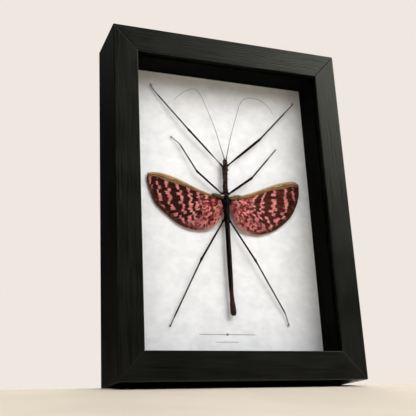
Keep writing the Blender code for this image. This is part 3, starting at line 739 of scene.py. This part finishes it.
def inner_edges(outline, width):
    """The section's edges behind the inner arris, which face the opening and the glass."""
    within = (outline[:, 0] > width - REBATE - 0.01) & (outline[:, 1] > FRONT_Y + INNER_ARRIS)
    return np.flatnonzero(within & np.roll(within, -1))


MITRE_REST, MITRE_NOTCH, NOTCH_DEPTH = 0.04, 0.28, 0.16


def add_rail(name, sizes, middle, quarter_turns, materials):
    """One mitred rail, its ends drawn in a little so that the joint shows as a fine groove."""
    length, width, other_width = sizes
    slope = other_width / width
    outline = rail_outline(width)
    drawn_in = inset(outline, NOTCH_DEPTH)
    rings = []
    sections = [(drawn_in, MITRE_REST), (outline, MITRE_NOTCH), (outline, MITRE_NOTCH + FLAT_FROM)]
    for end, order in ((-1, sections), (1, sections[::-1])):
        for section, retreat in order:
            x = end * (length / 2 - slope * section[:, 0] - retreat * hypot(1.0, slope))
            rings.append(np.column_stack([x, section[:, 1], section[:, 0]]))
    x, y, z = np.moveaxis(np.array(rings), -1, 0)
    turn = quarter_turns * pi / 2
    turned = points_at(
        middle[0] + x * cos(turn) + z * sin(turn),
        middle[1] + y,
        middle[2] - x * sin(turn) + z * cos(turn),
    )
    skin = Skin()
    skin.rings(turned)
    sides = len(outline)
    for row in range(len(rings) - 1):
        for edge in inner_edges(outline, width):
            skin.slots[row * sides + edge] = 1
    add_piece(name, "wood", skin, materials, 35)


def add_frame():
    """The four rails, their inner faces in dull black."""
    cross, upright = (FRAME_WIDTH, CROSS_RAIL, SIDE_RAIL), (FRAME_HEIGHT, SIDE_RAIL, CROSS_RAIL)
    half_width, half_height = FRAME_WIDTH / 2, FRAME_HEIGHT / 2
    side_wood = black_wood("side_wood", False, 0.12)
    inner = black_paper("inner_paint")
    rails = {
        "bottom": (cross, (0, 0, 0), 0, black_wood("bottom_wood", True, 0.1)),
        "top": (cross, (0, 0, FRAME_HEIGHT), 2, black_wood("top_wood", True, 0.3)),
        "left": (upright, (-half_width, 0, half_height), 1, side_wood),
        "right": (upright, (half_width, 0, half_height), -1, side_wood),
    }
    for name, (sizes, middle, quarter_turns, wood) in rails.items():
        add_rail(f"frame_rail_{name}", sizes, middle, quarter_turns, [wood, inner])


def dress_nodes():
    """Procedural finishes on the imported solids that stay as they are, by how their names start."""
    steel = zinc("zinc_coat")
    finishes = {
        "glass_pane": clear_glass("pane_glass"), "backing_board": white_board("cotton_card"),
        "back_panel": fibreboard("hardboard"), "liner_": black_paper("liner_paper"),
        "panel_tab_": steel, "sawtooth_": steel, "hanger_nail_": steel, "specimen_pin_": steel,
    }
    for node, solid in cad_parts.items():
        for start, finish in finishes.items():
            if node.startswith(start):
                solid.data.materials.clear()
                solid.data.materials.append(finish)


# Insect


def body_x(z):
    """Sideways place of the body's axis."""
    lean = np.maximum(0.0, z - HEAD_LEAN_FROM) / (BODY_STATIONS[0][0] - HEAD_LEAN_FROM)
    bend = np.maximum(0.0, TAIL_BEND_FROM - z) / (TAIL_BEND_FROM - BODY_STATIONS[-1][0])
    return BODY_X + HEAD_LEAN * lean ** 1.5 + TAIL_BEND * bend


def body_sizes(z):
    """Half width and half thickness of the body, read smoothly between its stations."""
    stations = np.array(BODY_STATIONS)[::-1]
    fine = np.arange(stations[0, 0], stations[-1, 0], 0.05)
    sizes = []
    kernel = np.exp(-np.linspace(-2.0, 2.0, 17) ** 2)
    kernel /= kernel.sum()
    for column in (1, 2):
        raw = np.interp(fine, stations[:, 0], stations[:, column])
        padded = np.pad(raw, 8, mode="edge")
        sizes.append(np.interp(z, fine, np.convolve(padded, kernel, mode="valid")))
    return sizes


BODY_SIDES, BODY_STEP, BODY_FULLNESS = 44, 0.26, 0.06


def body_bumps(draw):
    """Tubercles, granules and lumps, as height, angle, radius and rise."""
    bumps = []
    quarter = pi / 2
    for z in np.arange(TUBERCLES[0] + 1.0, TUBERCLES[1], 1.3):
        for angle in (-quarter - 0.5, -quarter + 0.5, 0.0, pi):
            if draw.random() < 0.8:
                place = z + draw.uniform(-0.35, 0.35), angle + draw.uniform(-0.15, 0.15)
                bumps.append((*place, 0.44, draw.uniform(0.45, 1.05)))

    def around(low, high):
        return draw.uniform(low, high), draw.uniform(0, tau)

    bumps += [(*around(*TUBERCLES), 0.26, draw.uniform(0.12, 0.35)) for _ in range(150)]
    bumps += [(*around(118.0, 130.5), draw.uniform(0.45, 0.9), draw.uniform(-0.25, 0.5)) for _ in range(46)]
    bumps += [(*around(149.0, 156.5), 0.32, draw.uniform(0.08, 0.3)) for _ in range(40)]
    return bumps


def body_surface(draw):
    """Rings of points over the head, thorax and abdomen."""
    z = np.arange(BODY_STATIONS[0][0], BODY_STATIONS[-1][0] - 1e-6, -BODY_STEP)[:, None]
    angles = np.linspace(0.0, tau, BODY_SIDES, endpoint=False)
    half_width, half_depth = body_sizes(z)
    half_width = half_width + BODY_FULLNESS
    rise = np.zeros((len(z), BODY_SIDES))
    for height, angle, radius, lift in body_bumps(draw):
        wrapped = (angles - angle + pi) % tau - pi
        rise += lift * np.exp(-((z - height) ** 2 + (half_width * wrapped) ** 2) / radius ** 2)
    for joint in SEGMENT_JOINTS:
        rise -= 0.12 * np.exp(-((z - joint) / 0.22) ** 2)
        rise += 0.09 * np.exp(-((z - joint - 0.75) / 0.5) ** 2)
    outward, backward = np.cos(angles), np.sin(angles)
    keel = np.exp(-((angles + pi / 2 + pi) % tau - pi) ** 2 / 0.06)
    rise += 0.07 * keel * (z < 112.0)
    rise -= 0.12 * keel * ((z > 118.0) & (z < 130.0))
    swell = 0.45 * np.max([np.exp(-((z - hip) / 0.9) ** 2) for hip in HIP_SOCKETS], axis=0)
    x = half_width * outward + rise * outward
    x = x + np.where(backward > -0.1, swell * outward * np.abs(outward), 0.0)
    y = half_depth * backward + rise * backward
    return points_at(body_x(z) + x, BODY_Y + y, z)


# Palps and cerci: height of their root on the body's axis, points as distance out, depth
# and height, first and last radius, and how finely each is made
PALP = (157.0, ((0.55, 0.3, 156.9), (0.8, 0.2, 157.4), (0.65, 0.0, 157.9)), (0.16, 0.07), 8)
CERCUS = (46.0, ((0.55, 0.0, 46.0), (0.8, -0.1, 45.1), (0.75, -0.1, 44.4)), (0.32, 0.1), 10)
EYE_Z, EYE_RADII = 154.9, (0.42, 0.45, 0.55)

# Lumps behind each wing's root, as height, distance out, half width and half height
ROOT_LUMPS = (
    (127.9, 3.1, 1.2, 1.0), (127.1, 4.2, 0.8, 0.6), (126.0, 3.0, 1.1, 1.3), (123.9, 2.45, 0.9, 1.2),
)


def add_feeler(skin, side, root, points, radii, steps):
    """A short tapering tube beside the body's axis."""
    axis = body_x(root)
    path = curve([(axis + side * out, BODY_Y + back, z) for out, back, z in points], steps)
    skin.tube(path, np.linspace(*radii, steps), steps)


def add_body():
    """Head, thorax and abdomen with their tubercles, eyes, mouthparts and cerci."""
    skin = Skin()
    skin.rings(body_surface(random.Random(SEED)))
    for side in (-1, 1):
        skin.ellipsoid((body_x(EYE_Z) + side * 1.42, BODY_Y - 0.35, EYE_Z + 0.05), EYE_RADII, 1)
        add_feeler(skin, side, *PALP)
        add_feeler(skin, side, *CERCUS)
        for height, out, wide, tall in ROOT_LUMPS:
            skin.ellipsoid((BODY_X + side * out, BODY_Y - 0.6, height), (wide, 0.9, tall), 0, 10)
        skin.ellipsoid((BODY_X + side * 3.4, BODY_Y - 2.55, 128.9), (1.3, 0.25, 0.36), 2, 10)
    materials = [
        body_finish("body_skin"),
        plain("eye", (30, 20, 16), (58, 38, 26), roughness=0.2, size=0.15, depth=0.01),
        plain("wing_joint", (196, 176, 160), (236, 222, 210)),
    ]
    add_piece("insect_body", "skin", skin, materials, 60)


def wing_grid(side, wing):
    """Points of one hind wing with, for each, its ray, reach and distance to the margin."""
    steps = WING_COLUMNS + 1
    top, strip_end, bottom = [np.array((BODY_X + side * x, z)) for x, z in WING_HINGE]
    leading = curve(np.vstack([top, wing["leading"]]), steps)
    rear = curve(np.vstack([strip_end, wing["strip"]]), steps)
    fan_rows = FAN_CELLS * ROWS_PER_CELL
    margin = curve(np.vstack([rear[-1], wing["margin"]]), fan_rows + 1)
    share = np.linspace(0.0, 1.0, steps)[:, None]
    strip_share = np.arange(COSTAL_ROWS)[:, None, None] / COSTAL_ROWS
    across = np.linspace(0.0, 1.0, fan_rows + 1)[:, None, None]
    start = rear[0] + (bottom - rear[0]) * across
    bow = rear - (rear[0] + (rear[-1] - rear[0]) * share)
    rays = np.concatenate([
        leading + (rear - leading) * strip_share,
        start + (margin[:, None] - start) * share + bow * (1.0 - across) ** BOW_FADE,
    ])
    numbers = np.concatenate([strip_share.ravel() - 1.0, np.arange(fan_rows + 1) / ROWS_PER_CELL])
    reach = np.linalg.norm(rays - rays[:, :1], axis=2)
    return rays, points_at(numbers[:, None], reach, reach[:, -1:] - reach)


# Rays at which the bars of pink patches are placed, and how far out each bar is there
BAR_RAYS = (0.0, 5.0, 10.0, 14.0, 26.0)
LEFT_BARS = (
    (10.0, 11.0, 13.0, 15.0, 8.0), (17.0, 18.0, 21.0, 23.5, 13.0), (24.5, 23.5, 25.0, 27.5, 17.0),
    (33.0, 30.0, 30.5, 33.0, 21.0), (41.0, 39.0, 38.5, 38.0, 25.0), (48.0, 46.0, 45.0, 43.5, 29.0),
    (52.6, 51.2, 50.0, 48.5, 33.0), (60.0, 58.0, 56.0, 54.0, 37.0),
)
RIGHT_BARS = (
    (12.0, 10.0, 12.0, 14.0, 8.0), (20.0, 16.5, 18.5, 22.0, 13.0), (27.0, 24.0, 24.0, 27.5, 17.0),
    (35.0, 34.0, 31.5, 33.0, 21.0), (44.5, 44.0, 39.0, 38.5, 25.0), (50.5, 51.0, 46.0, 44.0, 29.0),
    (57.0, 58.0, 53.0, 50.0, 33.0), (64.0, 65.0, 60.0, 56.0, 37.0),
)


def bar_phase(fan, bars):
    """Which bar each point is near, as a number that is whole on a bar, and the bars' spacing."""
    phase, spacing = [], []
    for rays, reach, _ in np.moveaxis(fan, -1, 1):
        here = np.array([np.interp(max(rays[0], 0.0), BAR_RAYS, bar) for bar in bars])
        phase.append(np.interp(reach, here, range(len(here))))
        spacing.append(np.interp(reach, (here[1:] + here[:-1]) / 2, np.diff(here)))
    return points_at(np.array(phase), np.array(spacing), 0.0)


def add_hind_wing(name, side, wing, bars, membrane):
    """A pleated fan of thin membrane behind a stiff strip, with its veins raised."""
    rays, fan = wing_grid(side, wing)
    number, reach = fan[..., 0], fan[..., 1]
    share = np.linspace(0.0, 1.0, WING_COLUMNS + 1)
    on_fan = np.clip(number, 0.0, 1.0)
    fold = -PLEAT_DEPTH / 2 * np.cos(pi * number) * on_fan * np.minimum(1.0, share / PLEAT_START)
    crown = COSTAL_CROWN * np.sin(pi * np.clip(-number, 0.0, 1.0))
    droop = WING_DROOP * share ** 3 * np.minimum(1.0, reach / FULL_DROOP_REACH)
    y = WING_Y + droop + fold - crown
    bent = droop / (WING_Y - VIEWPOINT[1])
    rays = rays + (rays - (VIEWPOINT[0], VIEWPOINT[2])) * bent[..., None]
    spacing = np.maximum(np.linalg.norm(np.gradient(rays, axis=0), axis=2) * ROWS_PER_CELL, 0.05)
    off_vein = np.abs(number - np.round(number)) * spacing
    veins = VEIN_HEIGHT * np.exp(-(off_vein / VEIN_WIDTH) ** 2) * (number > -0.01)
    strip_veins = STRIP_VEIN_HEIGHT * (0.5 + 0.5 * np.cos(tau * STRIP_VEINS * number)) * (number < 0)
    thick = np.where(number < 0, COSTAL_THICKNESS, MEMBRANE) + veins + strip_veins
    rough = np.random.default_rng(SEED).normal(0.0, WRINKLE, y.shape)
    y = y + sum(np.roll(rough, shift, (0, 1)) for shift in ((0, 0), (1, 0), (0, 1), (1, 1))) / 4
    skin = Skin()
    skin.sheet(rays[..., 0], y, rays[..., 1], thick)
    strip_faces = 2 * COSTAL_ROWS * WING_COLUMNS
    skin.slots[:strip_faces] = [1] * strip_faces
    materials = [membrane, wing_strip(name + "_strip")]
    piece = add_piece(name, "fan", skin, materials, 50)
    store(piece, "fan", fan)
    store(piece, "bars", bar_phase(fan, bars))


def add_forewing(name, side, finish):
    """A short domed oval over the root of the hind wing."""
    tilt = radians(FOREWING_TILT)
    along = np.linspace(0.0, 1.0, 29)[:, None]
    across = np.linspace(-0.5, 0.5, 15)
    oval = 2 * (FOREWING_BLUNTNESS + (1 - 2 * FOREWING_BLUNTNESS) * along) - 1
    offset = FOREWING_WIDTH * np.sqrt(1 - oval ** 2) * across
    reach = FOREWING_LENGTH * along
    x = BODY_X + side * (FOREWING_ROOT[0] + reach * cos(tilt) - offset * sin(tilt))
    z = FOREWING_ROOT[1] + reach * sin(tilt) + offset * cos(tilt)
    dome = (1 - (2 * across) ** 2) * (1 - oval ** 2)
    ribs = 0.04 * np.cos(across * tau * 5) * (1 - oval ** 2)
    y = FOREWING_Y - FOREWING_CROWN * dome - ribs
    skin = Skin()
    skin.sheet(x, y, z, FOREWING_THICKNESS)
    add_piece(name, "shell", skin, [finish], 50)


def leg_joints(leg):
    """A leg's hip, knee, ankle, toe and claw tip."""
    hip_z = leg[0]
    side = copysign(1.0, leg[1][0])
    hip = np.array((body_x(hip_z) + side * body_sizes(hip_z)[0], BOARD_Y - HIP_LIFT, hip_z))
    return [hip, *(np.array((x, BOARD_Y - lift, z)) for (x, z), lift in zip(leg[1:5], JOINT_LIFTS))]


def leg_route(joints, femur, waist):
    """Points and radii down a leg, from the hip to the toe."""
    hip, knee, ankle, toe, _ = joints
    path, radii = [], []

    def run(start, end, profile, stoutness=1.0):
        for share, size in profile:
            path.append(start + (end - start) * share)
            radii.append(size * stoutness * STOUTNESS)

    run(hip, knee, COXA)
    run(hip, knee, FEMUR_WAIST, femur - waist)
    run(hip, knee, FEMUR_REST, femur)
    run(hip, knee, KNEE)
    run(knee, ankle, TIBIA)
    for joint in range(TARSUS_JOINTS):
        start, end = [ankle + (toe - ankle) * (joint + k) / TARSUS_JOINTS for k in (0, 1)]
        run(start, end, TARSUS_JOINT)
    return np.array(path), np.array(radii)


def add_foot(skin, toe, claw):
    """A pad between two hooked claws."""
    forward = claw - toe
    aside = np.cross(forward, (0.0, 1.0, 0.0))
    skin.ellipsoid(toe + forward * 0.2, FOOT_PAD, 0, 8)
    for hand in (-1, 1):
        bend = toe + forward * 0.55 + aside * hand * 0.3
        tip = toe + forward + aside * hand * 0.12 + np.array((0.0, 0.15, 0.0))
        skin.tube(curve([toe, bend, tip], 9), np.linspace(*CLAW_RADII, 9), 7)


def add_hairs(skin, path, places, sizes, draw):
    """Short stiff hairs round a leg, none of them in the board."""
    for _ in range(HAIRS_PER_LEG):
        at = draw.uniform(0.1, 0.97) * places[-1]
        index = int(np.searchsorted(places, at).clip(1, len(places) - 1))
        along = path[index] - path[index - 1]
        along /= np.linalg.norm(along)
        around = draw.uniform(0, tau)
        first = np.cross(along, (0.0, 1.0, 0.0))
        outward = first * cos(around) + np.cross(along, first) * sin(around)
        root = path[index] + outward * sizes[index] * 0.8
        if root[1] > BOARD_Y - 0.4:
            continue
        tip = root + outward * draw.uniform(0.28, 0.5) + along * 0.25
        tip[1] = min(tip[1], BOARD_Y - 0.1)
        skin.tube([root, (root + tip) / 2 + along * 0.02, tip], HAIR_RADII, 4)


def add_leg(name, leg, finish, draw):
    """A jointed leg with its claws, pad and hairs."""
    joints = leg_joints(leg)
    path, radii = leg_route(joints, *leg[5:])
    lengths = lengths_along(path)
    places = np.unique(np.concatenate([lengths, np.arange(0.0, lengths[-1], RING_SPACING)]))
    places = places[np.concatenate([[True], np.diff(places) > 0.05])]
    fine = read_along(path, lengths, places)
    sizes = np.interp(places, lengths, radii)
    skin = Skin()
    skin.tube(fine, sizes, LEG_SIDES, LEG_RIDGES)
    add_foot(skin, fine[-1], joints[-1])
    add_hairs(skin, fine, places, sizes, draw)
    add_piece(name, "limb", skin, [finish], 60)


def add_antenna(name, points, finish):
    """A thick first joint and a whip of many short ringed ones."""
    path = curve([(x, ANTENNA_Y, z) for x, z in points], 300)
    lengths = lengths_along(path)
    radii = np.interp(lengths, [*ANTENNA_LENGTHS, lengths[-1]], ANTENNA_RADII)
    radii = radii * (1.0 + ANTENNA_RINGS * np.cos(tau * lengths / ANTENNA_RING_LENGTH))
    skin = Skin()
    skin.tube(path, radii, 8)
    add_piece(name, "whip", skin, [finish], 70)


def add_insect():
    add_body()
    deep = wing_membrane("left_membrane", 3.0, (28, 3, 2), (50, 24, 13), 0.6, 1.4)
    warm = wing_membrane("right_membrane", 8.0, (50, 10, 8), (80, 42, 28), 0.7, 1.6)
    add_hind_wing("hind_wing_left", -1, LEFT_WING, LEFT_BARS, deep)
    add_hind_wing("hind_wing_right", 1, RIGHT_WING, RIGHT_BARS, warm)
    # One leather in two copies: the left one darker as painted shade, the right one paler and golden with
    # painted light.
    shade_painted_leather = forewing_finish("left_leather", (50, 32, 18), (102, 76, 44))
    golden = forewing_finish("right_leather", (78, 54, 30), (156, 122, 76))
    add_forewing("forewing_left", -1, shade_painted_leather)
    add_forewing("forewing_right", 1, golden)
    draw = random.Random(SEED + 1)
    limb = leg_finish("leg_skin")
    for name, leg in LEGS.items():
        add_leg(name, leg, limb, draw)
    whip = antenna_finish("antenna_skin")
    for name, points in ANTENNAE.items():
        add_antenna(name, points, whip)


# Floor, light and camera

FLOOR_REACH, FLOOR_EDGE_Y, FLOOR_STEPS = 1500.0, 20.5, 12
FLOOR_SLOPE = tan(radians(8.5))


def floor_height(y):
    """Level behind the frame's front, then bending down to a gentle slope."""
    if y >= FLOOR_EDGE_Y:
        return 0.0
    if y >= 0:
        return -FLOOR_SLOPE * (FLOOR_EDGE_Y - y) ** 2 / (2 * FLOOR_EDGE_Y)
    return -FLOOR_SLOPE * (FLOOR_EDGE_Y / 2 - y)


def add_floor():
    """A pale floor that falls gently towards the camera."""
    ys = [-FLOOR_REACH, *(FLOOR_EDGE_Y * k / FLOOR_STEPS for k in range(FLOOR_STEPS + 1)), FLOOR_REACH]
    points = [(x * MM, y * MM, floor_height(y) * MM) for y in ys for x in (-FLOOR_REACH, FLOOR_REACH)]
    faces = [(k, k + 1, k + 3, k + 2) for k in range(0, 2 * len(ys) - 2, 2)]
    mesh = bpy.data.meshes.new("floor")
    mesh.from_pydata(points, [], faces)
    mesh.shade_smooth()
    coat = Coat("floor_paint", 0.2, 0.7)
    coat.colour(coat.two_tone(coat.noise(60.0, 3.0), (208, 196, 179), (213, 201, 184)))
    coat.bump(coat.noise(1.5, 3.0), 0.05, 0.3)
    mesh.materials.append(coat.material)
    floor = add_object("floor", mesh)


# Round soft lights: direction, distance, size, power, colour and the rays that miss them
LIGHT_TARGET = Vector((0.0, 0.0, 0.12))
LIGHTS = {
    "key": ((0.42, -0.69, 0.6), 1.2, 1.1, 17.4, (0.985, 0.985, 1.0), "visible_glossy"),
    "sheen": ((0.68, -0.44, 0.6), 1.2, 0.85, 9.5, (1.0, 1.0, 0.88), "visible_diffuse"),
    "fill": ((-0.48, -0.7, 0.46), 1.3, 0.9, 4.4, (0.985, 0.985, 1.0), "visible_glossy"),
    "rear": ((0.3, 0.8, 0.52), 1.3, 0.9, 15.0, (1.0, 0.97, 0.93), "visible_glossy"),
}


def add_lights():
    """A large key from the upper right, a card that draws the wood's sheen, a fill and a rear light."""
    for name, (direction, distance, size, power, colour, missing) in LIGHTS.items():
        light = bpy.data.lights.new(name, "AREA")
        light.shape = "DISK"
        light.size, light.energy, light.color = size, power, colour
        lamp = add_object(name, light)
        lamp.location = LIGHT_TARGET + Vector(direction).normalized() * distance
        lamp.rotation_euler = (-Vector(direction)).to_track_quat("-Z", "Y").to_euler()
        setattr(lamp, missing, False)


WALL_COLOUR = srgb(240, 232, 224)


def add_room():
    """A room lit from its ceiling, which the camera sees as an even pale wall."""
    world = bpy.data.worlds.new("room")
    world.use_nodes = True
    scene.world = world
    tree = world.node_tree
    generated = add_node(tree, "ShaderNodeTexCoord").outputs["Generated"]
    upward = add_node(tree, "ShaderNodeSeparateXYZ", (generated,)).outputs["Z"]
    ceiling = {"Value": upward, "From Min": 0.4, "From Max": 0.95, "To Min": 0.008, "To Max": 0.6}
    strength = add_node(tree, "ShaderNodeMapRange", ceiling, interpolation_type="SMOOTHSTEP").outputs[0]
    lit = tree.nodes["Background"]
    lit.inputs["Color"].default_value = (0.96, 0.98, 1.0, 1.0)
    tree.links.new(strength, lit.inputs["Strength"])
    wall = add_node(tree, "ShaderNodeBackground", {"Color": WALL_COLOUR}).outputs[0]
    seen = add_node(tree, "ShaderNodeLightPath").outputs["Is Camera Ray"]
    both = add_node(tree, "ShaderNodeMixShader", (seen, lit.outputs[0], wall)).outputs[0]
    tree.links.new(both, tree.nodes["World Output"].inputs["Surface"])


def add_camera():
    """The photograph's camera, with colours shown as they are."""
    lens = bpy.data.cameras.new("camera")
    lens.sensor_width = 36.0
    lens.lens = FOCAL_LENGTH
    lens.clip_start = 0.001
    camera = add_object("camera", lens)
    camera.location = Vector(VIEWPOINT) * MM
    camera.rotation_euler = [radians(angle) for angle in VIEW_ANGLES]
    scene.camera = camera
    scene.view_settings.view_transform = "Standard"


add_camera()
add_frame()
dress_nodes()
add_insect()
add_floor()
add_lights()
add_room()
